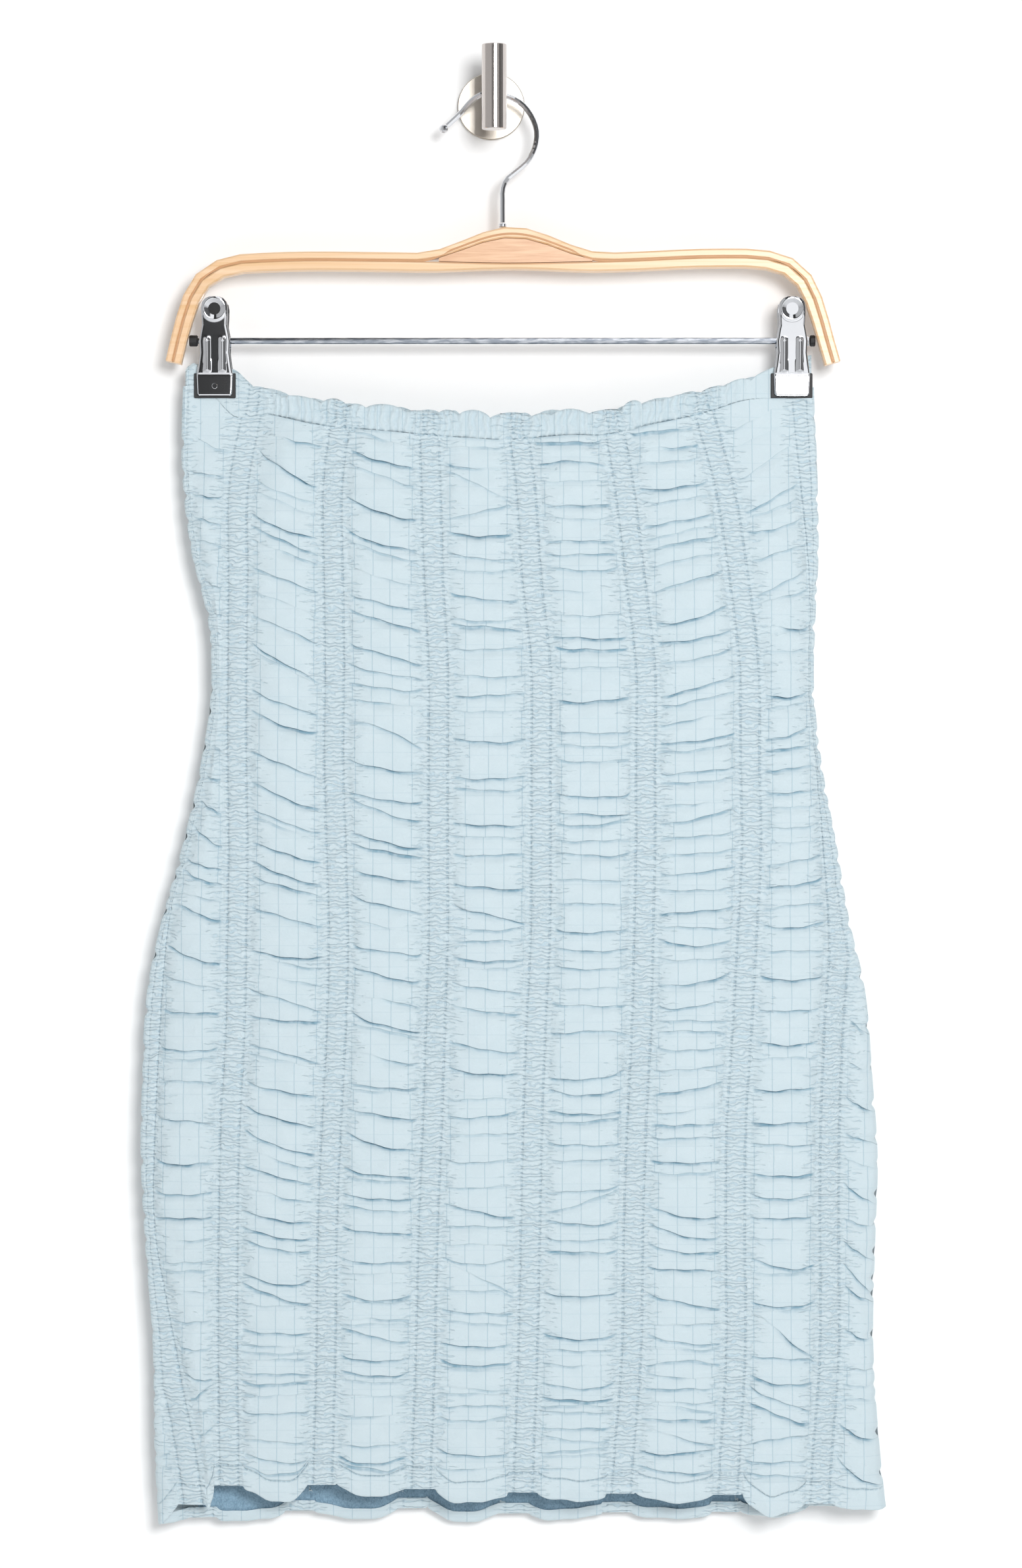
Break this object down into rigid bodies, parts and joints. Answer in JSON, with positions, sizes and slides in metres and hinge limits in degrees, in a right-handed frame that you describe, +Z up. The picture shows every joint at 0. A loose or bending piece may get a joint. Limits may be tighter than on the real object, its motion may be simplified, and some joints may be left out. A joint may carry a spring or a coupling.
{
  "type": "strapless shirred dress on a clip hanger and wall hook",
  "caption": "Strapless tube dress of puffed cotton gathered between stitched elastic strips, clipped by its casing to a bent-wood hanger that hangs from a round wall hook.",
  "frame": {"origin": "centre of the wall plate's back face, where it meets the wall", "axes": "+Z up, +Y into the wall, +X to the right as the dress is seen from the front"},
  "size_m": [0.4425, 0.0494, 0.8728],
  "materials": {
    "nickel": "brushed nickel plate",
    "chrome": "bright chrome plate",
    "pale_wood": "clear satin varnish on pale bent wood",
    "dark_wood": "clear satin varnish on red-brown wood",
    "rubber": "matt black rubber",
    "crinkled_cotton": "powder blue crinkled plain weave",
    "knit": "soft blue knit"
  },
  "bodies": {
    "root": {"wall_plate": "nickel", "wall_stem": "nickel", "wall_rod": "nickel", "hook_wire": "chrome", "hook_ball": "chrome", "hook_ferrule": "chrome", "bow_upper_ply": "pale_wood", "bow_lower_ply": "pale_wood", "bow_wedge": "dark_wood", "bar": "chrome", "bush_left": "rubber", "bush_right": "rubber", "collar_right": "chrome", "clip_left_front": "chrome", "clip_left_back": "chrome", "clip_left_front_pad": "rubber", "clip_left_back_pad": "rubber", "clip_left_spring": "chrome", "clip_left_rivet": "chrome", "clip_right_front": "chrome", "clip_right_back": "chrome", "clip_right_front_pad": "rubber", "clip_right_back_pad": "rubber", "clip_right_spring": "chrome", "clip_right_rivet": "chrome", "dress_front": "crinkled_cotton", "dress_back": "crinkled_cotton", "lining_back": "knit"}
  },
  "joints": []
}
